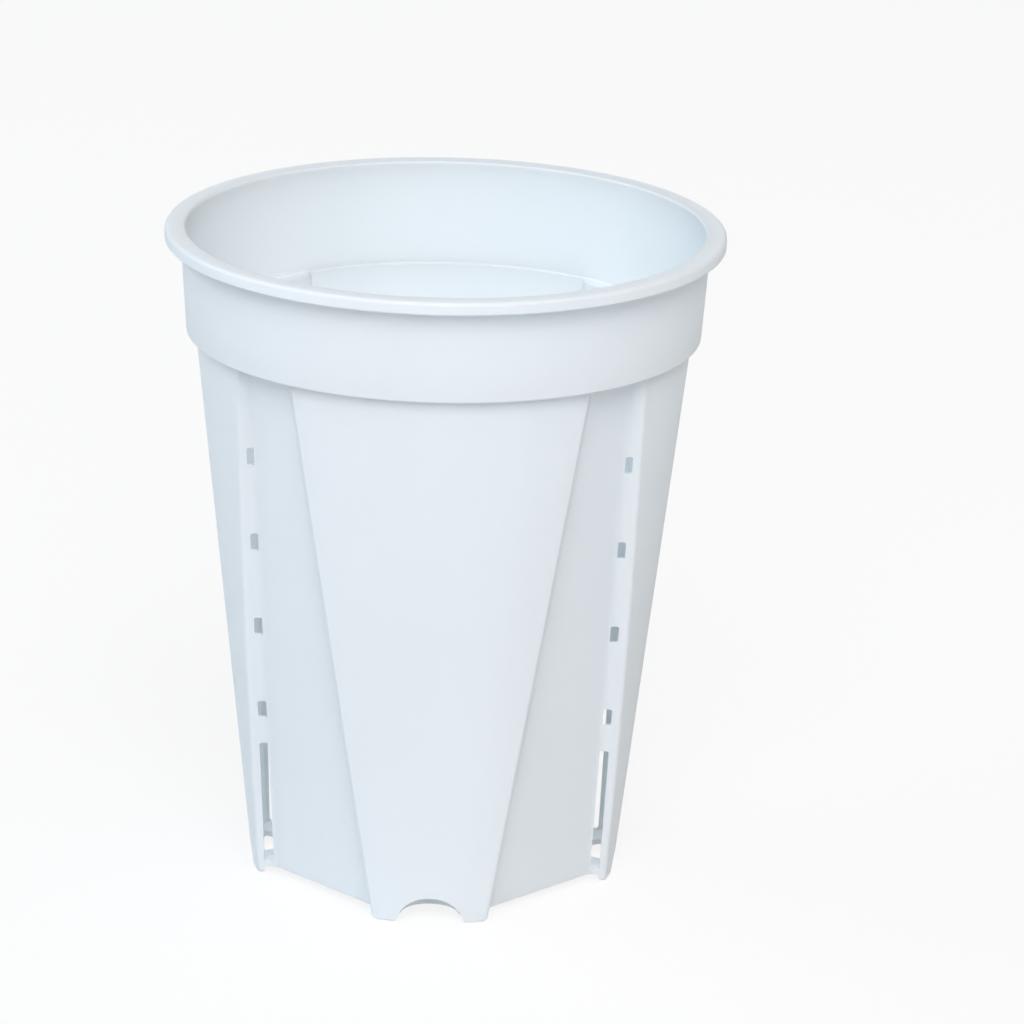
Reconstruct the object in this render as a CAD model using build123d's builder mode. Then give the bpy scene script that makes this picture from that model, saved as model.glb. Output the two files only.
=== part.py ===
from build123d import *
import math
import os

# Slotted orchid pot, a thin moulding in millimetres.
# It is 180 high, 150 across the rim, 142 across the collar and 100 across the feet.
# The feet stand on z = 0, the pot's axis is Z and its front faces -Y.
# Every wall region is drawn once, for the right-hand side (+X) or for the corner between
# +X and +Y, and turned in quarter turns about the axis.

# Wall, floor and step
wall = 1.5
floor_thickness = 1.5
shoulder_thickness = 1.5

# Conical body: across opposite panels at the ground and at the shoulder, and its height
base_diameter = 99.6
body_top_diameter = 133.1
shoulder_height = 151.4
panel_edge_bevel = 0.7

# Flat corner facets: their width, and how deep they lie inside the edges of the panels
facet_bottom_width = 38.8
facet_top_width = 15.3
recess_bottom_depth = 3.17
recess_top_depth = 2.6

# Feet, which stand below the floor, and the arch between them
foot_height = 2.2
foot_width = 5.7
foot_corner_radius = 1.8
arch_height = 6.8

# Collar: how far it stands out from the body, how much it widens, and its height
shoulder_step = 2.45
collar_flare = 2.0
collar_height = 27.0
collar_edge_bevel = 0.5

# Rim: how far it stands out from the collar, and its lip that turns down
rim_overhang = 4.0
rim_thickness = 1.6
rim_lip_height = 3.4
rim_edge_bevel = 0.5

# Short slots of each slot wall, counted down from the shoulder, and the long slot below them
slot_bottom_width = 2.45
slot_top_width = 1.75
slot_height = 5.0
slot_corner_bevel = 0.6
slot_pitch = 25.0
slot_count = 4
top_slot_drop = 23.5
long_slot_gap = 7.7

# Drain openings of the floor: one in the middle, and a ring of them inside the facets
centre_drain_diameter = 12.0
ring_drain_diameter = 8.0
ring_drain_inset = 17.0
ring_drain_count = 8

quarter_turns = 4
quarter_angle = 90.0
diagonal = math.sqrt(2)
floor_top = foot_height + floor_thickness
ledge_height = shoulder_height + shoulder_thickness
collar_top = shoulder_height + collar_height
overall_height = collar_top + rim_thickness


def at_height(bottom_value, top_value, height):
    """Value at a height, on a straight line from the ground to the shoulder."""
    return bottom_value + (top_value - bottom_value) * height / shoulder_height


def body_radius(height):
    return at_height(base_diameter, body_top_diameter, height) / 2


def panel_edge(radius, facet_width, recess_depth):
    """Half the width of a panel whose corners on a circle leave room for the facet."""
    corner_gap = diagonal * recess_depth + facet_width / diagonal
    return (math.sqrt(2 * radius**2 - corner_gap**2) - corner_gap) / 2


panel_bottom_half = panel_edge(base_diameter / 2, facet_bottom_width, recess_bottom_depth)
panel_top_half = panel_edge(body_top_diameter / 2, facet_top_width, recess_top_depth)


def panel_half_width(height):
    return at_height(panel_bottom_half, panel_top_half, height)


def facet_corner(height):
    """Distance from the axis plane to the corner where a facet meets a slot wall."""
    bottom = panel_bottom_half + facet_bottom_width / diagonal
    top = panel_top_half + facet_top_width / diagonal
    return at_height(bottom, top, height)


def collar_radius(height):
    """Outside of the collar, on its straight taper, which runs on to the rim's top."""
    rise_share = (height - shoulder_height) / (overall_height - shoulder_height)
    return body_top_diameter / 2 + shoulder_step + collar_flare * rise_share


def save(part, name):
    part.label = name
    export_step(part, f"parts/{name}.step")


def rising_plane(bottom_point, top_point, across):
    """Plane through two points, one above the other, and level along the direction across."""
    rise = Vector(*top_point) - Vector(*bottom_point)
    return Plane(origin=bottom_point, x_dir=across, z_dir=Vector(*across).cross(rise))


# The planes of the corner between +X and +Y; the normals of all three point out of the pot
facet_bottom_half = (panel_half_width(0) + facet_corner(0)) / 2
facet_top_half = (panel_half_width(shoulder_height) + facet_corner(shoulder_height)) / 2
facet_plane = rising_plane(
    (facet_bottom_half, facet_bottom_half, 0),
    (facet_top_half, facet_top_half, shoulder_height),
    (-1, 1, 0),
)
right_side_plane = rising_plane(
    (0, panel_half_width(0), 0),
    (0, panel_half_width(shoulder_height), shoulder_height),
    (-1, 0, 0),
)
back_side_plane = rising_plane(
    (panel_half_width(0), 0, 0),
    (panel_half_width(shoulder_height), 0, shoulder_height),
    (0, 1, 0),
)


def corner_block(low, high):
    """A square block that fills the corner between +X and +Y from one height to another."""
    side = body_radius(high)
    with BuildPart() as block:
        with BuildSketch(Plane.XY.offset(low)):
            Rectangle(side, side, align=(Align.MIN, Align.MIN))
        extrude(amount=high - low)
    return block.part


def inner_cone(low, high):
    """The round space inside the conical wall from one height to another."""
    with BuildPart() as cone:
        with BuildSketch(Plane.XZ):
            with BuildLine():
                Polyline(
                    (0, low),
                    (body_radius(low) - wall, low),
                    (body_radius(high) - wall, high),
                    (0, high),
                    close=True,
                )
            make_face()
        revolve(axis=Axis.Z)
    return cone.part


def inner_space(low, high):
    """The space inside the walls: the round space less the four recessed corners."""
    with BuildPart() as corner:
        add(corner_block(low, high))
        for plane in (facet_plane, right_side_plane, back_side_plane):
            split(bisect_by=plane.offset(-wall), keep=Keep.TOP)
    with BuildPart() as space:
        add(inner_cone(low, high))
        for turn in range(quarter_turns):
            add(corner.part.rotate(Axis.Z, quarter_angle * turn), mode=Mode.SUBTRACT)
    return space.part


os.makedirs("parts", exist_ok=True)

# Rim: a flat ring whose outer edge turns down
with BuildPart() as rim_flange:
    lip_bottom = overall_height - rim_lip_height
    rim_outside = collar_radius(overall_height) + rim_overhang
    with BuildSketch(Plane.XZ) as rim_section:
        with BuildLine():
            Polyline(
                (collar_radius(collar_top) - wall, collar_top),
                (collar_radius(overall_height) - wall, overall_height),
                (rim_outside, overall_height),
                (rim_outside, lip_bottom),
                (rim_outside - wall, lip_bottom),
                (rim_outside - wall, collar_top),
                close=True,
            )
        make_face()
        chamfer(rim_section.vertices().group_by(Axis.Y)[-1], rim_edge_bevel)
    revolve(axis=Axis.Z)
save(rim_flange.part, "rim_flange")

# Collar: a tapered band under the rim, with a soft lower edge
with BuildPart() as collar_band:
    with BuildSketch(Plane.XZ) as collar_section:
        with BuildLine():
            Polyline(
                (collar_radius(shoulder_height) - wall, shoulder_height),
                (collar_radius(shoulder_height), shoulder_height),
                (collar_radius(collar_top), collar_top),
                (collar_radius(collar_top) - wall, collar_top),
                close=True,
            )
        make_face()
        lower_corners = collar_section.vertices().group_by(Axis.Y)[0]
        chamfer(lower_corners.sort_by(Axis.X)[-1], collar_edge_bevel)
    revolve(axis=Axis.Z)
save(collar_band.part, "collar_band")

# Shoulder: the flat step inside the collar that the walls hang from
with BuildPart() as shoulder_ring:
    with BuildSketch(Plane.XZ):
        with BuildLine():
            Polyline(
                (0, shoulder_height),
                (collar_radius(shoulder_height) - wall, shoulder_height),
                (collar_radius(ledge_height) - wall, ledge_height),
                (0, ledge_height),
                close=True,
            )
        make_face()
    revolve(axis=Axis.Z)
    add(inner_space(shoulder_height, ledge_height), mode=Mode.SUBTRACT)
save(shoulder_ring.part, "shoulder_ring")

# Wall panel: a piece of the conical wall between two slanted cuts, with feet and an arch
arch_half_width = panel_half_width(0) - foot_width
arch_radius = (arch_half_width**2 + arch_height**2) / (2 * arch_height)
arch_centre = arch_height - arch_radius
panel_corners = [
    (-panel_half_width(0), 0),
    (panel_half_width(0), 0),
    (panel_half_width(shoulder_height), shoulder_height),
    (-panel_half_width(shoulder_height), shoulder_height),
]
with BuildPart() as wall_panel:
    with BuildSketch(Plane.XZ):
        with BuildLine():
            Polyline(
                (body_radius(0) - wall, 0),
                (body_radius(0), 0),
                (body_radius(shoulder_height), shoulder_height),
                (body_radius(shoulder_height) - wall, shoulder_height),
                close=True,
            )
        make_face()
    revolve(axis=Axis.Z)
    with BuildSketch(Plane.YZ):
        with BuildLine():
            Polyline(*panel_corners, close=True)
        make_face()
    extrude(amount=body_top_diameter, mode=Mode.INTERSECT)
    outer_face = wall_panel.faces().filter_by(GeomType.CONE).sort_by(Axis.X)[-1]
    side_edges = outer_face.edges().group_by(SortBy.LENGTH)[-1]
    chamfer(side_edges, panel_edge_bevel)
    with BuildSketch(Plane.YZ) as base_outline:
        with BuildLine():
            Polyline(*panel_corners, close=True)
        make_face()
        fillet(base_outline.vertices().group_by(Axis.Y)[0], foot_corner_radius)
        with Locations((0, arch_centre)):
            Circle(arch_radius, mode=Mode.SUBTRACT)
    extrude(amount=body_top_diameter, mode=Mode.INTERSECT)

# Facet: the flat recessed corner plate, between the outer faces of its two slot walls
with BuildPart() as corner_facet:
    add(corner_block(foot_height, shoulder_height))
    split(bisect_by=facet_plane, keep=Keep.BOTTOM)
    for plane in (facet_plane.offset(-wall), right_side_plane, back_side_plane):
        split(bisect_by=plane, keep=Keep.TOP)

# Slot wall: the return wall from the back of the facet to the inside of the panel
with BuildPart() as slot_wall:
    add(corner_block(foot_height, shoulder_height))
    split(bisect_by=right_side_plane, keep=Keep.BOTTOM)
    for plane in (facet_plane.offset(-wall), right_side_plane.offset(-wall)):
        split(bisect_by=plane, keep=Keep.TOP)
    add(inner_cone(foot_height, shoulder_height), mode=Mode.INTERSECT)
    slot_spans = []
    for index in range(slot_count):
        slot_top = shoulder_height - top_slot_drop - index * slot_pitch
        slot_spans.append((slot_top - slot_height, slot_top))
    slot_spans.append((floor_top, slot_spans[-1][0] - long_slot_gap))
    for low, high in slot_spans:
        low_width = at_height(slot_bottom_width, slot_top_width, low)
        high_width = at_height(slot_bottom_width, slot_top_width, high)
        with BuildSketch(Plane.XZ) as slot_outline:
            with BuildLine():
                Polyline(
                    (facet_corner(low), low),
                    (facet_corner(low) + low_width, low),
                    (facet_corner(high) + high_width, high),
                    (facet_corner(high), high),
                    close=True,
                )
            make_face()
            outer_corners = slot_outline.vertices().sort_by(Axis.X)[-2:]
            if low == floor_top:
                outer_corners = slot_outline.vertices().group_by(Axis.Y)[-1].sort_by(Axis.X)[-1:]
            chamfer(outer_corners, slot_corner_bevel)
        extrude(amount=body_top_diameter, both=True, mode=Mode.SUBTRACT)

# Floor: fills the space inside the walls, open at its drains and as wide as each arch behind it
notch_radius = math.sqrt(arch_radius**2 - (floor_top - arch_centre) ** 2)
facet_back_distance = (panel_half_width(foot_height) + facet_corner(foot_height)) / diagonal - wall
with BuildPart() as base_floor:
    add(inner_space(foot_height, floor_top))
    with BuildSketch(Plane.XY.offset(foot_height)):
        Circle(centre_drain_diameter / 2)
        with PolarLocations(facet_back_distance - ring_drain_inset, ring_drain_count):
            Circle(ring_drain_diameter / 2)
        with PolarLocations(body_radius(foot_height) - wall, quarter_turns):
            Circle(notch_radius)
    extrude(amount=floor_thickness, mode=Mode.SUBTRACT)
save(base_floor.part, "base_floor")

# The four sides, counter-clockwise from the right as seen from above
side_names = ["right", "back", "left", "front"]
for turn, side in enumerate(side_names):
    angle = quarter_angle * turn
    next_side = side_names[(turn + 1) % quarter_turns]
    previous_side = side_names[turn - 1]
    corner_name = "_".join(sorted((side, next_side), key=["front", "back", "left", "right"].index))
    save(wall_panel.part.rotate(Axis.Z, angle), f"{side}_wall_panel")
    save(corner_facet.part.rotate(Axis.Z, angle), f"{corner_name}_facet")
    save(slot_wall.part.rotate(Axis.Z, angle), f"{side}_panel_{next_side}_slot_wall")
    mirrored_wall = slot_wall.part.mirror(Plane.XZ)
    save(mirrored_wall.rotate(Axis.Z, angle), f"{side}_panel_{previous_side}_slot_wall")
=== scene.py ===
# %% [markdown]
# # A slotted orchid pot
#
# The real pot is one thin moulding in white polypropylene, 180 mm high and 150 mm across its
# rim. It has a flat rim with a lip, a tapered collar, a shoulder, and a conical body whose four
# corners are sunk in as flat facets. The narrow return walls beside the facets are slotted, so
# that air reaches the roots.
#
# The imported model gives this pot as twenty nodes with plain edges. Here each node is replaced
# by one piece with the soft edges of a moulding. Two pieces that meet share the same line,
# worked out by the same formula, so that no seam opens between them.

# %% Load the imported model
import math

import bmesh
import bpy
import numpy as np
from mathutils import Matrix, Vector


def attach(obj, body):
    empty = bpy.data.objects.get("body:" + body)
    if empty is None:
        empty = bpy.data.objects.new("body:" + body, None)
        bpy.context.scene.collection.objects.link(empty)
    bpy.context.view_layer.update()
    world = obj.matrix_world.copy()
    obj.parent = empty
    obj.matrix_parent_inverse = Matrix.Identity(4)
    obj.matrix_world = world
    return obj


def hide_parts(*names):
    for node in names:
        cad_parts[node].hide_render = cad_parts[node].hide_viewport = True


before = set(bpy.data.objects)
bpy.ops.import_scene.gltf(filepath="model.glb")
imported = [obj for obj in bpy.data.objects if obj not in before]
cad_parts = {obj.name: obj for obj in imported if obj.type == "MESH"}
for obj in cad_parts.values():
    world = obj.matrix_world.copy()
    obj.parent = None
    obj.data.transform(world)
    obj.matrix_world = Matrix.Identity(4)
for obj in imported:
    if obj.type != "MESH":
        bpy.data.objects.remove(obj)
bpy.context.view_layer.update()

scene = bpy.context.scene

# %% [markdown]
# ## The sizes of the pot
#
# Every form below follows a few sizes in millimetres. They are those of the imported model, but
# for the inside of the collar with its ledge, the arch, the slots and the notches of the floor,
# which differ from it by up to 2 mm for the look. Most sizes change in a straight line from the
# ground to the shoulder, because a moulding is drafted so that it leaves its mould. One function
# gives such a size at any height.

# %% Sizes, in millimetres
mm = 0.001
wall = 1.5
shoulder_height = 151.4
ledge_height = 151.8
collar_foot = 152.9
collar_top = 178.4
collar_radii = (69.0, 71.0)
collar_inside_taper = 3.8
rim_radius = 75.0
lip_bottom = 176.6
overall_height = 180.0
floor_bottom = 2.2
floor_top = 3.7
base_radius = 49.8
shoulder_radius = 66.55
facet_widths = (38.8, 15.3)
recess_depths = (3.17, 2.6)
soft_edge = 0.3


def at_height(bottom_value, top_value, z):
    """A size at height z, on a straight line from the ground to the shoulder."""
    return bottom_value + (top_value - bottom_value) * z / shoulder_height


def panel_edge(radius, facet_width, recess_depth):
    """Half the width of a panel whose corners on a circle leave room for the facet."""
    corner_gap = math.sqrt(2) * recess_depth + facet_width / math.sqrt(2)
    return (math.sqrt(2 * radius**2 - corner_gap**2) - corner_gap) / 2


edge_bottom = panel_edge(base_radius, facet_widths[0], recess_depths[0])
edge_top = panel_edge(shoulder_radius, facet_widths[1], recess_depths[1])
crease_bottom = edge_bottom + facet_widths[0] / math.sqrt(2)
crease_top = edge_top + facet_widths[1] / math.sqrt(2)
print("half a panel:", round(edge_bottom, 2), "to", round(edge_top, 2), "mm")


# %% Forms that follow the height
def cone_radius(z):
    """Outside of the conical panels."""
    return at_height(base_radius, shoulder_radius, z)


def panel_half_width(z):
    """From the middle of a panel to its return wall."""
    return at_height(edge_bottom, edge_top, z)


def crease_x(z):
    """From the pot's axis, along the panel's own direction, to the crease at its facet."""
    return at_height(crease_bottom, crease_top, z)


def collar_radius(z):
    """Outside of the collar, on its straight taper."""
    taper = collar_radii[1] - collar_radii[0]
    return collar_radii[0] + taper * (z - shoulder_height) / (overall_height - shoulder_height)


def inside_collar_radius(z):
    """Inside of the collar, which tapers down almost to the inside of the body."""
    top_radius = collar_radius(collar_top) - wall
    return top_radius - collar_inside_taper * (collar_top - z) / (collar_top - ledge_height)


print("collar:", collar_radius(shoulder_height), "to", collar_radius(overall_height), "mm")

# %% [markdown]
# ## The plastic
#
# Polypropylene from a finely blasted mould is satin, not glossy. Its surface is gently uneven
# where it shrank, its tint drifts a little, and the gloss differs from place to place where it
# has been handled. Noise textures on object coordinates make all of these. They need no images,
# and they run on unbroken from one piece to the next. The walls are thin, so some light also
# passes through them, which makes the inside of the pot almost as bright as its outside.


# %% One way to add a node to any tree
def add_node(tree, kind, options=None, **inputs):
    """Adds a node. An input is a value to set, or a socket of another node to link."""
    made = tree.nodes.new(kind)
    for option, value in (options or {}).items():
        setattr(made, option, value)
    for label, value in inputs.items():
        socket = made.inputs[label.replace("_", " ")]
        if isinstance(value, bpy.types.NodeSocket):
            tree.links.new(value, socket)
        else:
            socket.default_value = value
    return made


# %% The patterns of the plastic
white_plastic = bpy.data.materials.new("white_polypropylene")
white_plastic.use_nodes = True
plastic = white_plastic.node_tree
shader = plastic.nodes["Principled BSDF"]
shader.inputs["IOR"].default_value = 1.49
place = add_node(plastic, "ShaderNodeTexCoord").outputs["Object"]


def noise(scale, detail, stretch=(1.0, 1.0, 1.0)):
    """A noise pattern on object coordinates, with about so many lumps to the metre."""
    mapping = add_node(plastic, "ShaderNodeMapping", Vector=place, Scale=stretch)
    vector = mapping.outputs["Vector"]
    return add_node(plastic, "ShaderNodeTexNoise", Vector=vector, Scale=scale, Detail=detail)


def spread(texture, low, high):
    """Turns a noise pattern into values between low and high."""
    span = add_node(plastic, "ShaderNodeMapRange", Value=texture.outputs["Fac"])
    for label, value in (("From Min", 0.3), ("From Max", 0.7), ("To Min", low), ("To Max", high)):
        span.inputs[label].default_value = value
    return span.outputs["Result"]


# %% Its colour, gloss and surface
tint = plastic.nodes.new("ShaderNodeMix")
tint.data_type = "RGBA"
plastic.links.new(spread(noise(26, 3, (1.0, 1.0, 0.3)), 0.0, 1.0), tint.inputs[0])
tint.inputs[6].default_value = (0.855, 0.898, 0.928, 1.0)
tint.inputs[7].default_value = (0.878, 0.916, 0.942, 1.0)
plastic.links.new(tint.outputs[2], shader.inputs["Base Color"])
plastic.links.new(spread(noise(70, 4), 0.46, 0.58), shader.inputs["Roughness"])
lumps = noise(22, 1).outputs["Fac"]
sink = add_node(plastic, "ShaderNodeBump", Strength=0.25, Distance=0.5 * mm, Height=lumps)
dots = noise(2600, 2).outputs["Fac"]
even = sink.outputs["Normal"]
grain = add_node(
    plastic, "ShaderNodeBump", Strength=0.18, Distance=0.05 * mm, Height=dots, Normal=even
)
plastic.links.new(grain.outputs["Normal"], shader.inputs["Normal"])
through = add_node(
    plastic, "ShaderNodeBsdfTranslucent", Color=tint.outputs[2], Normal=grain.outputs["Normal"]
)
thin_wall = add_node(plastic, "ShaderNodeMixShader", Fac=0.22)
plastic.links.new(shader.outputs[0], thin_wall.inputs[1])
plastic.links.new(through.outputs[0], thin_wall.inputs[2])
plastic.links.new(thin_wall.outputs[0], plastic.nodes["Material Output"].inputs["Surface"])
print("plastic nodes:", len(plastic.nodes))

# %% [markdown]
# ## Meshes of a moulded wall
#
# A moulded wall is two skins a wall apart, closed round its edge. So most pieces are given as
# two grids of points, the outer skin and the inner skin, and one helper joins them. The edges
# that need rounding carry a bevel weight, which a Bevel modifier reads.


# %% Close two skins into a wall
def new_mesh(points, faces):
    """A mesh from points in millimetres and faces as rows of point numbers."""
    mesh = bpy.data.meshes.new("wall")
    faces = [[int(number) for number in face] for face in faces]
    mesh.from_pydata((points.reshape(-1, 3) * mm).tolist(), [], faces)
    return mesh


def quads(grid):
    """Faces between the points of a grid of point numbers."""
    corners = grid[:-1, :-1], grid[:-1, 1:], grid[1:, 1:], grid[1:, :-1]
    return np.stack(corners, axis=-1).reshape(-1, 4).tolist()


def two_skins(outer, inner, soft_bottom=False):
    """A closed wall from two grids of points, (rows, columns, 3), lowest row first."""
    rows, columns = outer.shape[:2]
    front, back = np.arange(2 * rows * columns).reshape(2, rows, columns)
    border = [front[0, :-1], front[:-1, -1], front[-1, :0:-1], front[:0:-1, 0], front[0, :1]]
    front_border = np.concatenate(border)
    rim = np.stack([front_border, front_border + rows * columns])
    mesh = new_mesh(np.stack([outer, inner]), quads(front) + quads(back[:, ::-1]) + quads(rim))
    if soft_bottom:
        weights = mesh.attributes.new("bevel_weight_edge", "FLOAT", "EDGE")
        for edge in mesh.edges:
            if max(edge.vertices) < columns:
                weights.data[edge.index].value = 1.0
    return mesh


def outward(mesh):
    """Merges doubles and turns the faces of a closed mesh outward."""
    work = bmesh.new()
    work.from_mesh(mesh)
    bmesh.ops.remove_doubles(work, verts=work.verts, dist=0.001 * mm)
    bmesh.ops.recalc_face_normals(work, faces=work.faces)
    if work.calc_volume(signed=True) < 0:
        bmesh.ops.reverse_faces(work, faces=work.faces)
    open_edges = sum(not edge.is_manifold for edge in work.edges)
    if open_edges:
        print("open edges:", open_edges)
    work.to_mesh(mesh)
    work.free()
    return mesh


# %% [markdown]
# ## From a mesh to a piece
#
# Modifiers are evaluated on a holder object, and the result is a plain mesh. A finished piece
# gets the plastic, smooth shading that breaks at real corners, and a Weighted Normal modifier,
# which keeps a flat face flat to the eye beside a small round edge.


# %% Evaluate, soften and turn a mesh
def evaluated(mesh, add_modifier):
    """The plain mesh that a modifier makes of a mesh."""
    holder = bpy.data.objects.new("holder", mesh)
    scene.collection.objects.link(holder)
    add_modifier(holder)
    graph = bpy.context.evaluated_depsgraph_get()
    result = bpy.data.meshes.new_from_object(holder.evaluated_get(graph))
    bpy.data.objects.remove(holder)
    return result


def softened(mesh, radius):
    """Rounds the edges that carry a bevel weight."""

    def add_bevel(holder):
        bevel = holder.modifiers.new("Soft edges", "BEVEL")
        bevel.limit_method = "WEIGHT"
        bevel.width = radius * mm
        bevel.segments = 3

    return evaluated(mesh, add_bevel)


def turned(mesh, quarters, mirrored=False):
    """A copy of a mesh, mirrored left to right if asked, and turned about the pot's axis."""
    copy = mesh.copy()
    if mirrored:
        copy.transform(Matrix.Scale(-1, 4, Vector((0, 1, 0))))
        copy.flip_normals()
    copy.transform(Matrix.Rotation(math.pi / 2 * quarters, 4, "Z"))
    return copy


# %% Put a piece in the place of a node
def add_piece(node, mesh):
    """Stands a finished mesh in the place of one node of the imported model."""
    mesh.materials.clear()
    mesh.materials.append(white_plastic)
    mesh.shade_smooth()
    mesh.set_sharp_from_angle(angle=math.radians(32))
    piece = bpy.data.objects.new("moulded_" + node, mesh)
    scene.collection.objects.link(piece)
    piece.modifiers.new("Even shading", "WEIGHTED_NORMAL").keep_sharp = True
    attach(piece, "root")
    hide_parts(node)
    print(piece.name, "faces:", len(mesh.polygons))


# %% [markdown]
# ## Rim and collar
#
# Both are rings, so their shape follows one rule: a section carried round the axis. A Geometry
# Nodes tree does what a lathe does. The section comes in as a closed line of corner points,
# each with its own radius. Fillet Curve rounds the corners, and Curve to Mesh carries the line
# round a circle. To change the rim, only its section is edited.


# %% What every tree here starts and ends with
def start_tree(name, sizes):
    """An empty tree with its geometry sockets and one named input for each size."""
    tree = bpy.data.node_groups.new(name, "GeometryNodeTree")
    tree.interface.new_socket("Geometry", in_out="OUTPUT", socket_type="NodeSocketGeometry")
    tree.interface.new_socket("Geometry", in_out="INPUT", socket_type="NodeSocketGeometry")
    for label, value in sizes.items():
        kind = "NodeSocketInt" if isinstance(value, int) else "NodeSocketFloat"
        socket = tree.interface.new_socket(label, in_out="INPUT", socket_type=kind)
        socket.default_value = value
    return tree, tree.nodes.new("NodeGroupInput").outputs


def end_tree(tree, geometry):
    """Ends a tree in Realize Instances and Set Material."""
    real = add_node(tree, "GeometryNodeRealizeInstances", Geometry=geometry).outputs[0]
    finish = add_node(tree, "GeometryNodeSetMaterial", Geometry=real, Material=white_plastic)
    tree.links.new(finish.outputs[0], tree.nodes.new("NodeGroupOutput").inputs[0])


def grown(tree, mesh, sizes):
    """The plain mesh that a tree makes of a mesh with these sizes."""
    sockets = {s.name: s.identifier for s in tree.interface.items_tree if s.in_out == "INPUT"}

    def add_tree(holder):
        modifier = holder.modifiers.new("Tree", "NODES")
        modifier.node_group = tree
        for label, value in sizes.items():
            modifier[sockets[label]] = value

    return evaluated(mesh, add_tree)


# %% A tree that turns a section into a ring
ring_sizes = {"Circle Radius": 70.0 * mm, "Sides": 256, "Corner Steps": 6}
ring_tree, ring = start_tree("Turned ring", ring_sizes)
section_line = add_node(ring_tree, "GeometryNodeMeshToCurve", Mesh=ring["Geometry"])
corner_radius = add_node(
    ring_tree, "GeometryNodeInputNamedAttribute", {"data_type": "FLOAT"}, Name="corner_radius"
)
rounded = add_node(
    ring_tree,
    "GeometryNodeFilletCurve",
    {"mode": "POLY"},
    Curve=section_line.outputs[0],
    Count=ring["Corner Steps"],
    Radius=corner_radius.outputs[0],
)
circle = add_node(
    ring_tree,
    "GeometryNodeCurvePrimitiveCircle",
    Radius=ring["Circle Radius"],
    Resolution=ring["Sides"],
)
carried = add_node(
    ring_tree,
    "GeometryNodeCurveToMesh",
    Curve=circle.outputs[0],
    Profile_Curve=rounded.outputs[0],
)
end_tree(ring_tree, carried.outputs[0])
print("ring tree:", len(ring_tree.nodes), "nodes")


# %% Turn the rim and the collar
def turned_ring(corners):
    """A ring from section corners (radius, height, corner radius) in millimetres."""
    section = bpy.data.meshes.new("section")
    start = ring_sizes["Circle Radius"]
    points = [(radius * mm - start, -height * mm, 0) for radius, height, _ in corners]
    count = len(points)
    section.from_pydata(points, [(i, (i + 1) % count) for i in range(count)], [])
    rounds = section.attributes.new("corner_radius", "FLOAT", "POINT")
    rounds.data.foreach_set("value", [corner[2] * mm for corner in corners])
    return outward(grown(ring_tree, section, ring_sizes))


rim_corners = [
    (collar_radius(collar_top) - wall, collar_top, 0),
    (collar_radius(overall_height) - wall, overall_height, 0.7),
    (rim_radius, overall_height, 1.1),
    (rim_radius, lip_bottom, 0.45),
    (rim_radius - wall, lip_bottom, 0.3),
    (rim_radius - wall, collar_top, 0.4),
]
collar_corners = [
    (collar_radius(shoulder_height) - wall, shoulder_height, 0),
    (collar_radius(shoulder_height), shoulder_height, 0.6),
    (collar_radius(collar_top), collar_top, 0),
    (collar_radius(collar_top) - wall, collar_top, 0),
    (inside_collar_radius(collar_foot), collar_foot, 0),
    (collar_radius(shoulder_height) - wall, collar_foot, 0),
]
add_piece("rim_flange", turned_ring(rim_corners))
add_piece("collar_band", turned_ring(collar_corners))

# %% [markdown]
# ## The recessed corner
#
# A facet and its two return walls meet in a concave crease with a radius of 3.5 mm. The
# section below gives the skin of such a corner at any depth in the wall: an arc, the flat and
# a second arc. The pieces are cut apart in the middle of each arc, where a cut shows least.

# %% The section of a corner
crease_radius = 3.5
tangent_length = crease_radius * math.tan(math.radians(22.5))
arc_steps = 6
flat_steps = 6


def crease_arc(z, depth, start, end, steps=arc_steps):
    """Points of the crease beside the side panel, at a depth inside the wall."""
    centre = np.array([crease_x(z) + tangent_length, panel_half_width(z) + crease_radius])
    angles = np.radians(np.linspace(start, end, steps + 1))
    reach = crease_radius + depth
    return centre + reach * np.stack([np.cos(angles), np.sin(angles)], axis=1)


def facet_line(z, depth):
    """The section of a facet, from the cut in one crease to the cut in the other."""
    half = crease_arc(z, depth, -112.5, -135.0)
    return np.concatenate([half, half[::-1, ::-1]])


def return_wall_line(z, depth):
    """The section of a return wall, from the cut in the crease to the inside of the panel."""
    arc = crease_arc(z, depth, -112.5, -90.0)
    side = panel_half_width(z) - depth
    seam = math.sqrt((cone_radius(z) - wall) ** 2 - side**2)
    flat = np.linspace(arc[-1], [seam, side], flat_steps + 1)
    return np.concatenate([arc, flat[1:]])


def raised(outline, z):
    """The points of a flat outline, lifted to height z."""
    return np.column_stack([outline, np.full(len(outline), z)])


def skin(line, heights, depth):
    """A grid of points from a section drawn at each height."""
    return np.array([raised(line(z, depth), z) for z in heights])


print("crease tangent:", round(tangent_length, 2), "mm")

# %% [markdown]
# ## The four facets
#
# A facet is ruled: straight lines run from its foot to the shoulder, so two sections would be
# enough. A few more keep its faces short, which shades better. The same mesh is turned a
# quarter turn at a time about the axis.

# %% Make the facets
side_names = ["right", "back", "left", "front"]
corner_names = ["back_right", "back_left", "front_left", "front_right"]
heights = np.linspace(floor_bottom, shoulder_height, 25)
facet_skins = skin(facet_line, heights, 0), skin(facet_line, heights, wall)
facet_mesh = softened(outward(two_skins(*facet_skins, soft_bottom=True)), soft_edge)
for turn, corner in enumerate(corner_names):
    add_piece(corner + "_facet", turned(facet_mesh, turn))

# %% [markdown]
# ## The slotted return walls
#
# Each wall carries four short slots, 25 mm apart, and a long one that starts on the floor. The
# slots repeat, so a Geometry Nodes tree cuts them. A rounded rectangle is carried along a line
# into a cutter and set on a row of points. The cutters are then leaned to follow the crease,
# and Mesh Boolean takes them out of the plain wall. It also tells which edges it cut. These
# get a bevel weight, so that only the rims of the slots are softened. At its bottom, each wall
# curves down into the foot beside it.

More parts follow.
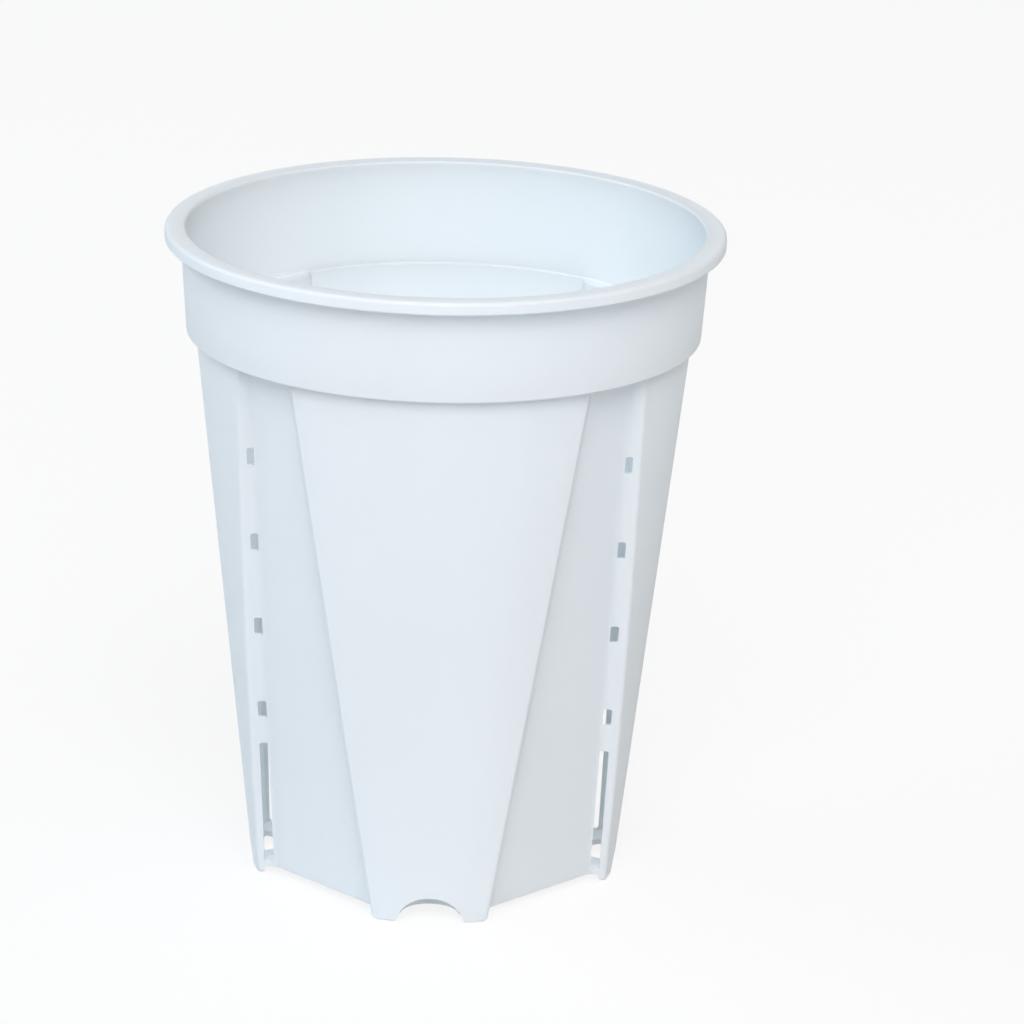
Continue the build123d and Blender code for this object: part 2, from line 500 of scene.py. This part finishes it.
# %% The sizes of the slots
slot_sizes = {
    "Slot Count": 4,
    "Slot Pitch": 25.0 * mm,
    "Slot Height": 5.0 * mm,
    "Lowest Slot": 50.4 * mm,
    "Corner Radius": 0.7 * mm,
    "Long Slot Height": 36.5 * mm,
    "Long Slot Middle": 21.95 * mm,
    "Width Below": 2.7 * mm,
    "Width Above": 2.0 * mm,
    "Crease Below": crease_bottom * mm,
    "Crease Above": crease_top * mm,
    "Shoulder": shoulder_height * mm,
}
slot_tree, slots = start_tree("Slotted wall", slot_sizes)


def calculate(tree, operation, *values):
    """A Math node."""
    made = add_node(tree, "ShaderNodeMath", {"operation": operation})
    for socket, value in zip(made.inputs, values):
        if isinstance(value, bpy.types.NodeSocket):
            tree.links.new(value, socket)
        else:
            socket.default_value = value
    return made.outputs[0]


# %% Cutters for the slots
def slot_cutter(height):
    """A thick rounded rectangle, twice as wide as a slot, so that it also cuts the crease."""
    double_width = calculate(slot_tree, "MULTIPLY", slots["Width Below"], 2.0)
    outline = add_node(
        slot_tree,
        "GeometryNodeCurvePrimitiveQuadrilateral",
        Width=double_width,
        Height=height,
    )
    rounded = add_node(
        slot_tree,
        "GeometryNodeFilletCurve",
        {"mode": "POLY"},
        Curve=outline.outputs[0],
        Count=5,
        Radius=slots["Corner Radius"],
    )
    through = add_node(slot_tree, "GeometryNodeCurvePrimitiveLine", End=(0.0, 60.0 * mm, 0.0))
    return add_node(
        slot_tree,
        "GeometryNodeCurveToMesh",
        Curve=through.outputs[0],
        Profile_Curve=rounded.outputs[0],
        Fill_Caps=True,
    ).outputs[0]


first = add_node(slot_tree, "ShaderNodeCombineXYZ", Z=slots["Lowest Slot"])
step = add_node(slot_tree, "ShaderNodeCombineXYZ", Z=slots["Slot Pitch"])
row = add_node(
    slot_tree,
    "GeometryNodeMeshLine",
    Count=slots["Slot Count"],
    Start_Location=first.outputs[0],
    Offset=step.outputs[0],
)
short_cutters = add_node(
    slot_tree,
    "GeometryNodeInstanceOnPoints",
    Points=row.outputs[0],
    Instance=slot_cutter(slots["Slot Height"]),
)
middle = add_node(slot_tree, "ShaderNodeCombineXYZ", Z=slots["Long Slot Middle"])
long_cutter = add_node(
    slot_tree,
    "GeometryNodeTransform",
    Geometry=slot_cutter(slots["Long Slot Height"]),
    Translation=middle.outputs[0],
)
cutters = add_node(slot_tree, "GeometryNodeJoinGeometry", Geometry=short_cutters.outputs[0])
slot_tree.links.new(long_cutter.outputs[0], cutters.inputs[0])
real_cutters = add_node(slot_tree, "GeometryNodeRealizeInstances", Geometry=cutters.outputs[0])
print("cutter nodes:", len(slot_tree.nodes))

# %% Lean the cutters along the crease, and cut
where = add_node(slot_tree, "GeometryNodeInputPosition")
across = add_node(slot_tree, "ShaderNodeSeparateXYZ", Vector=where.outputs[0]).outputs


def rising(low, high):
    """A size that changes in a straight line from the ground to the shoulder."""
    return add_node(
        slot_tree,
        "ShaderNodeMapRange",
        {"clamp": False},
        Value=across["Z"],
        From_Max=slots["Shoulder"],
        To_Min=low,
        To_Max=high,
    ).outputs[0]


width_share = calculate(
    slot_tree,
    "DIVIDE",
    rising(slots["Width Below"], slots["Width Above"]),
    slots["Width Below"],
)
crease = rising(slots["Crease Below"], slots["Crease Above"])
leaned_x = calculate(slot_tree, "MULTIPLY_ADD", across["X"], width_share, crease)
leaned = add_node(slot_tree, "ShaderNodeCombineXYZ", X=leaned_x, Y=across["Y"], Z=across["Z"])
placed = add_node(
    slot_tree,
    "GeometryNodeSetPosition",
    Geometry=real_cutters.outputs[0],
    Position=leaned.outputs[0],
)


def cut_and_weigh(tree, solid, cutters, weight):
    """Cuts cutters out of a solid and gives the new edges a bevel weight."""
    cut = add_node(
        tree,
        "GeometryNodeMeshBoolean",
        {"operation": "DIFFERENCE", "solver": "EXACT"},
        Mesh_1=solid,
        Mesh_2=cutters,
    )
    old_weight = add_node(
        tree, "GeometryNodeInputNamedAttribute", {"data_type": "FLOAT"}, Name="bevel_weight_edge"
    )
    new_weight = calculate(tree, "MULTIPLY", cut.outputs["Intersecting Edges"], weight)
    return add_node(
        tree,
        "GeometryNodeStoreNamedAttribute",
        {"data_type": "FLOAT", "domain": "EDGE"},
        Geometry=cut.outputs["Mesh"],
        Name="bevel_weight_edge",
        Value=calculate(tree, "MAXIMUM", old_weight.outputs[0], new_weight),
    ).outputs[0]


slot_rim_weight = 0.6
slotted = cut_and_weigh(slot_tree, slots["Geometry"], placed.outputs[0], slot_rim_weight)
end_tree(slot_tree, slotted)

# %% Make the return walls
foot_hollow = 1.7


def hollowed(grid, depth):
    """Curves the bottom of a skin down beside the foot, in a quarter of a circle."""
    for step in range(1, flat_steps + 1):
        away = foot_hollow * (1 - step / flat_steps)
        z = floor_bottom - foot_hollow + math.sqrt(foot_hollow**2 - (foot_hollow - away) ** 2)
        column = arc_steps + step
        grid[0, column] = [*return_wall_line(z, depth)[column], z]
    return grid


wall_skins = [hollowed(skin(return_wall_line, heights, depth), depth) for depth in (0, wall)]
plain_wall = outward(two_skins(*wall_skins, soft_bottom=True))
slotted_wall = softened(outward(grown(slot_tree, plain_wall, slot_sizes)), soft_edge)
for turn, side in enumerate(side_names):
    next_side = side_names[(turn + 1) % 4]
    add_piece(f"{side}_panel_{next_side}_slot_wall", turned(slotted_wall, turn))
    last_side = side_names[turn - 1]
    add_piece(f"{side}_panel_{last_side}_slot_wall", turned(slotted_wall, turn, mirrored=True))

# %% [markdown]
# ## The four wall panels
#
# A panel is a piece of the cone between two return walls. It stands on two feet with an arch
# between them, and each end of the arch runs round into a sole. The columns of its grid start on
# the arch or on the sole of a foot and run up to the shoulder, so the outline below is exact and
# no face has to be cut. Its upright edges are rounded by 1.15 mm, and the skins draw together a
# little at the bottom, which rounds the soles and the arch.

# %% The outline of a foot and of the arch
edge_radius = 1.15
foot_corner_radius = 1.8
arch_height = 7.4
foot_width = 6.1
arch_half_width = edge_bottom - foot_width
arch_radius = (arch_half_width**2 + arch_height**2) / (2 * arch_height)
arch_centre = arch_height - arch_radius
arch_soft = 0.45
arch_edge, sole_edge = 0.3, 0.65
arch_start = math.asin((arch_soft - arch_centre) / (arch_radius + arch_soft))
sole_start = (arch_radius + arch_soft) * math.cos(arch_start)
side_lean = math.atan((edge_top - edge_bottom) / shoulder_height)
corner_tangent = foot_corner_radius / math.tan(math.pi / 4 + side_lean / 2)
corner_top = foot_corner_radius * (1 - math.sin(side_lean))


def foot_half_width(z):
    """Half the width of a panel, drawn in at the rounded corners of its feet."""
    rise = foot_corner_radius - np.minimum(z, corner_top)
    rounded = edge_bottom - corner_tangent + np.sqrt(foot_corner_radius**2 - rise**2)
    return np.where(z < corner_top, rounded, panel_half_width(z))


def drawn_in(rise, radius):
    """How far a skin is drawn in at a small height above a round bottom edge."""
    left = np.maximum(radius - rise, 0)
    return radius - np.sqrt(radius**2 - left**2)


print("arch:", round(2 * arch_half_width, 2), "mm wide, radius", round(arch_radius, 2), "mm")

# %% The columns of a panel
low_heights = [0, 0.03, 0.09, 0.2, 0.35, 0.55, 0.8, 1.15]
rows = np.concatenate([low_heights, np.linspace(corner_top, shoulder_height, 25)])


def flat_column(z, y, soft):
    """A column of both skins, where the outside is the plain cone."""
    outer_radius = cone_radius(z) - soft
    inner_radius = cone_radius(z) - wall + soft
    outer = np.stack([np.sqrt(outer_radius**2 - y**2), y, z], axis=1)
    inner = np.stack([np.sqrt(inner_radius**2 - y**2), y, z], axis=1)
    return outer, inner


def rising_column(start_y, start_z, radius):
    """A column that starts at a point of the arch, whose edge is rounded by radius."""
    z = start_z + rows * (1 - start_z / shoulder_height)
    y = start_y / panel_half_width(start_z) * panel_half_width(z)
    return flat_column(z, y, drawn_in(z - start_z, radius))


def arch_column(angle):
    """A column on the arch, at an angle round the arch's centre."""
    start_z = arch_centre + arch_radius * math.sin(angle)
    return rising_column(arch_radius * math.cos(angle), start_z, arch_edge)


def round_column(share):
    """A column on the rounding between the end of the arch and the sole."""
    angle = arch_start + (math.pi / 2 - arch_start) * share
    start_y = sole_start - arch_soft * math.cos(angle)
    start_z = max(arch_soft * (1 - math.sin(angle)), 0)
    return rising_column(start_y, start_z, arch_edge + (sole_edge - arch_edge) * share)


def foot_column(share):
    """A column between the start of the sole and the rounded edge of the panel."""
    soft = drawn_in(rows, sole_edge)
    half = foot_half_width(rows) - edge_radius
    radius = cone_radius(rows) - soft
    round_start = half * radius / (radius - edge_radius)
    arch_side = panel_half_width(rows) * sole_start / edge_bottom
    return flat_column(rows, arch_side + share * (round_start - arch_side), soft)


def edge_column(share):
    """A column on the round upright edge, from the cone to the flat of the return wall."""
    soft = drawn_in(rows, sole_edge)
    half = foot_half_width(rows) - edge_radius
    reach = cone_radius(rows) - soft - edge_radius
    start = np.arcsin(half / reach)
    angle = start + (math.pi / 2 - start) * share
    y = half + edge_radius * np.sin(angle)
    x = np.sqrt(reach**2 - half**2) + edge_radius * np.cos(angle)
    outer = np.stack([x, y, rows], axis=1)
    return outer, flat_column(rows, y, soft)[1]


# %% Make the panels
columns = [arch_column(angle) for angle in np.linspace(math.pi / 2, arch_start, 14)]
sixths = [step / 6 for step in range(1, 7)]
columns += [round_column(share) for share in sixths]
columns += [foot_column(share) for share in (0.3, 0.65, 1.0)]
columns += [edge_column(share) for share in sixths]
mirror = np.array([1, -1, 1])
columns = [(outer * mirror, inner * mirror) for outer, inner in columns[:0:-1]] + columns
panel_skins = [np.stack([column[k] for column in columns], axis=1) for k in (0, 1)]
panel_mesh = outward(two_skins(*panel_skins))
for turn, side in enumerate(side_names):
    add_piece(side + "_wall_panel", turned(panel_mesh, turn))

# %% [markdown]
# ## The shoulder
#
# The shoulder is the step between the body and the collar. From inside it shows as a thin line,
# with a small flat ledge over each corner. Its inner edge follows the inside of the body,
# corners and all, and its outer edge is the round collar. So each point of the inner outline
# gets a row of points that runs outward: up the soft inner edge, over the flat, into a hollow
# fillet and up the foot of the collar.


# %% The inside of the body, and the ledge round it
def inside_quarter(z, depth):
    """The outline of the body at a depth inside its wall, for a quarter of the way round."""
    radius = cone_radius(z) - depth
    side = panel_half_width(z) - depth
    turn = math.asin(side / radius)
    angles = np.linspace(0, turn, 13)
    arc = radius * np.stack([np.cos(angles), np.sin(angles)], axis=1)
    corner = crease_arc(z, depth, -90.0, -135.0, 2 * arc_steps)
    return np.concatenate([arc, corner, corner[::-1, ::-1], arc[:0:-1, ::-1]])


def inside_outline(z, depth):
    """The whole outline, turned from its first quarter."""
    x, y = inside_quarter(z, depth).T
    quarters = [(x, y), (-y, x), (-x, -y), (y, -x)]
    return np.concatenate([np.stack(quarter, axis=1) for quarter in quarters])


edge_soft = 0.3
ledge_fillet = 0.4
ledge_rows = [raised(inside_outline(shoulder_height, wall), shoulder_height)]
for angle in np.radians(np.linspace(0, 90, 6)):
    z = ledge_height - edge_soft * (1 - math.sin(angle))
    depth = wall - edge_soft * (1 - math.cos(angle))
    ledge_rows.append(raised(inside_outline(z, depth), z))
outline = ledge_rows[0][:, :2]
directions = outline / np.linalg.norm(outline, axis=1, keepdims=True)
fillet_top = ledge_height + ledge_fillet
fillet_middle = inside_collar_radius(fillet_top) - ledge_fillet
for angle in np.radians(np.linspace(0, 90, 7)):
    radius = fillet_middle + ledge_fillet * math.sin(angle)
    z = fillet_top - ledge_fillet * math.cos(angle)
    ledge_rows.append(raised(directions * radius, z))
ledge_rows.append(raised(directions * inside_collar_radius(collar_foot), collar_foot))
outer_radius = collar_radius(shoulder_height) - wall
for z in (collar_foot, shoulder_height):
    ledge_rows.append(raised(directions * outer_radius, z))
grid = np.arange(len(ledge_rows) * len(outline)).reshape(len(ledge_rows), -1)
grid = np.pad(grid, ((0, 1), (0, 1)), mode="wrap")
add_piece("shoulder_ring", outward(new_mesh(np.array(ledge_rows), quads(grid))))

# %% [markdown]
# ## The floor
#
# The floor fills the inside of the body just above the feet. Drain holes repeat round a ring,
# with one in the middle, and the floor is open behind each arch. A second tree punches them
# with cylinders on the points of a circle. The edges that it cuts are softened as before.

# %% A tree that punches the floor
drain_sizes = {
    "Centre Radius": 6.0 * mm,
    "Drain Count": 8,
    "Drain Radius": 4.0 * mm,
    "Ring Radius": 23.04 * mm,
    "Notch Count": 4,
    "Notch Radius": 7.8 * mm,
    "Notch Distance": 48.54 * mm,
}
drain_tree, drains = start_tree("Punched floor", drain_sizes)


def punch(radius, count=None, distance=None):
    """A cylinder, or cylinders of one radius on the points of a circle."""
    cylinder = add_node(
        drain_tree, "GeometryNodeMeshCylinder", Vertices=72, Radius=radius, Depth=20.0 * mm
    )
    if count is None:
        return cylinder.outputs["Mesh"]
    points = add_node(drain_tree, "GeometryNodeMeshCircle", Vertices=count, Radius=distance)
    ring_of_them = add_node(
        drain_tree,
        "GeometryNodeInstanceOnPoints",
        Points=points.outputs[0],
        Instance=cylinder.outputs["Mesh"],
    )
    return ring_of_them.outputs[0]


punches = add_node(drain_tree, "GeometryNodeJoinGeometry")
for made in (
    punch(drains["Centre Radius"]),
    punch(drains["Drain Radius"], drains["Drain Count"], drains["Ring Radius"]),
    punch(drains["Notch Radius"], drains["Notch Count"], drains["Notch Distance"]),
):
    drain_tree.links.new(made, punches.inputs[0])
real_punches = add_node(drain_tree, "GeometryNodeRealizeInstances", Geometry=punches.outputs[0])
punched = cut_and_weigh(drain_tree, drains["Geometry"], real_punches.outputs[0], 1.0)
end_tree(drain_tree, punched)

# %% Make the floor
outlines = [raised(inside_outline(z, wall), z) for z in (floor_bottom, floor_top)]
count = len(outlines[0])
numbers = np.arange(2 * count).reshape(2, count)
sides = quads(np.pad(numbers, ((0, 0), (0, 1)), mode="wrap"))
plain_floor = outward(new_mesh(np.array(outlines), sides + numbers.tolist()))
punched_floor = outward(grown(drain_tree, plain_floor, drain_sizes))
add_piece("base_floor", softened(punched_floor, soft_edge))

# %% [markdown]
# ## Floor, light and camera
#
# The pot stands on a wide white floor. Five wide lamps stand far away, so that the light is even
# from rim to foot: the strongest in front, a high one to its right, two cool ones at the left
# and a weak warm one at the right. Two very weak small lamps in the pot's mouth fill the inside,
# one all round and one down on the pot's floor. The floor and the sky show almost white to the
# camera through Light Path, which changes what is seen and not how the pot is lit. Part of the
# floor's own shading is kept, so that the pot's shadow stays.


# %% The studio floor
def seen_rays(tree):
    """One where the camera sees a surface, also in a mirror or through glass, and else zero."""
    path = add_node(tree, "ShaderNodeLightPath").outputs
    seen = calculate(tree, "MAXIMUM", path["Is Camera Ray"], path["Is Glossy Ray"])
    return calculate(tree, "MAXIMUM", seen, path["Is Transmission Ray"])


def blended(tree, share, first_shader, second_shader):
    """Mixes two shaders by a share."""
    blend = add_node(tree, "ShaderNodeMixShader")
    for socket, source in zip(blend.inputs, (share, first_shader, second_shader)):
        tree.links.new(source, socket)
    return blend.outputs[0]


floor_size = 12.0
half_size = floor_size / 2
floor_corners = [
    (-half_size, -half_size, 0),
    (half_size, -half_size, 0),
    (half_size, half_size, 0),
    (-half_size, half_size, 0),
]
floor_mesh = bpy.data.meshes.new("studio_floor")
floor_mesh.from_pydata(floor_corners, [], [(0, 1, 2, 3)])
studio_floor = bpy.data.objects.new("studio_floor", floor_mesh)
scene.collection.objects.link(studio_floor)
floor_white = bpy.data.materials.new("studio_floor_white")
floor_white.use_nodes = True
paint = floor_white.node_tree
matte = paint.nodes["Principled BSDF"]
matte.inputs["Base Color"].default_value = (0.86, 0.87, 0.88, 1.0)
matte.inputs["Roughness"].default_value = 0.9
plain_white = add_node(paint, "ShaderNodeEmission", Strength=1.0)
flat_white = 0.85
white_share = calculate(paint, "MULTIPLY", seen_rays(paint), flat_white)
floor_look = blended(paint, white_share, matte.outputs[0], plain_white.outputs[0])
paint.links.new(floor_look, paint.nodes["Material Output"].inputs["Surface"])
floor_mesh.materials.append(floor_white)
print("floor:", floor_size, "m wide")

# %% The sky
sky = bpy.data.worlds.new("studio_sky")
sky.use_nodes = True
scene.world = sky
air = sky.node_tree
sky_light = add_node(air, "ShaderNodeBackground", Color=(0.92, 0.96, 1.0, 1.0), Strength=0.02)
sky_white = add_node(air, "ShaderNodeBackground", Color=(1.0, 1.0, 1.0, 1.0), Strength=1.0)
sky_look = blended(air, seen_rays(air), sky_light.outputs[0], sky_white.outputs[0])
output = air.nodes.get("World Output") or air.nodes.new("ShaderNodeOutputWorld")
air.links.new(sky_look, output.inputs["Surface"])
print("sky nodes:", len(air.nodes))


# %% The wide lamps
lamp_size = 3.0
lamp_distance = 5.0
pot_middle = Vector((0, 0, 0.09))


def add_lamp(name, power, colour, turn, height_angle):
    """A square lamp that faces the pot, turned round it from the front, in degrees."""
    lamp = bpy.data.lights.new(name, "AREA")
    lamp.energy = power
    lamp.size = lamp_size
    lamp.color = colour
    around, above = math.radians(turn), math.radians(height_angle)
    flat = math.cos(above)
    way = Vector((math.sin(around) * flat, -math.cos(around) * flat, math.sin(above)))
    holder = bpy.data.objects.new(name, lamp)
    holder.location = way * lamp_distance + pot_middle
    holder.rotation_euler = way.to_track_quat("Z", "Y").to_euler()
    scene.collection.objects.link(holder)
    print(name, power, "W")


add_lamp("front_lamp", 172.0, (0.99, 0.98, 0.985), 0, 40)
add_lamp("high_right_lamp", 66.0, (0.96, 0.965, 0.985), 30, 60)
add_lamp("front_left_lamp", 42.0, (0.74, 0.89, 1.0), -65, 35)
add_lamp("left_lamp", 79.0, (0.79, 0.90, 1.0), -105, 35)
add_lamp("right_lamp", 32.0, (1.0, 0.78, 0.57), 105, 38)


# %% The small lamps in the mouth
def add_small_lamp(name, kind, power, colour, place):
    """A small lamp inside the pot, which no mirror image shows. A spot points down."""
    lamp = bpy.data.lights.new(name, kind)
    lamp.energy = power
    lamp.color = colour
    lamp.shadow_soft_size = 0.03
    holder = bpy.data.objects.new(name, lamp)
    holder.location = place
    holder.visible_glossy = False
    scene.collection.objects.link(holder)
    print(name, power, "W")
    return lamp


add_small_lamp("mouth_lamp", "POINT", 0.014, (0.74, 0.97, 1.0), (0.015, -0.015, 0.165))
floor_spot = add_small_lamp("inside_spot", "SPOT", 0.42, (1.0, 1.0, 0.97), (0, 0, 0.17))
floor_spot.spot_size = math.radians(40)
floor_spot.spot_blend = 0.3

# %% [markdown]
# ## The camera
#
# The photograph was taken from above the front, about 1.55 m away, with a long lens. These
# values come from a fit of the pot's circles and edges. The focal length and the place of the
# pot's axis are in pixels of the picture, the angles in radians and the rest in metres. The
# picture's middle is to the right of the pot, so the lens is shifted sideways, and the camera
# leans by a little more than a degree.

# %% Set up the camera
picture_size = 1024
focal_length = 6009.3
pot_across = 439.96
sensor_width = 36.0
camera_data = bpy.data.cameras.new("camera")
camera_data.sensor_width = sensor_width
camera_data.lens = sensor_width * focal_length / picture_size
camera_data.shift_x = (picture_size / 2 - pot_across) / picture_size
camera = bpy.data.objects.new("camera", camera_data)
pitch, roll, heading, distance, height = 0.3107, 0.021, 0.0108, 1.55, 0.5977
turn_out = Matrix.Rotation(heading, 4, "Z")
stand = Matrix.Translation((0, -distance, height))
tilt = Matrix.Rotation(math.pi / 2 - pitch, 4, "X") @ Matrix.Rotation(roll, 4, "Z")
camera.matrix_world = turn_out @ stand @ tilt
scene.collection.objects.link(camera)
scene.camera = camera
scene.view_settings.view_transform = "Standard"
print("camera at", tuple(round(v, 3) for v in camera.matrix_world.translation))
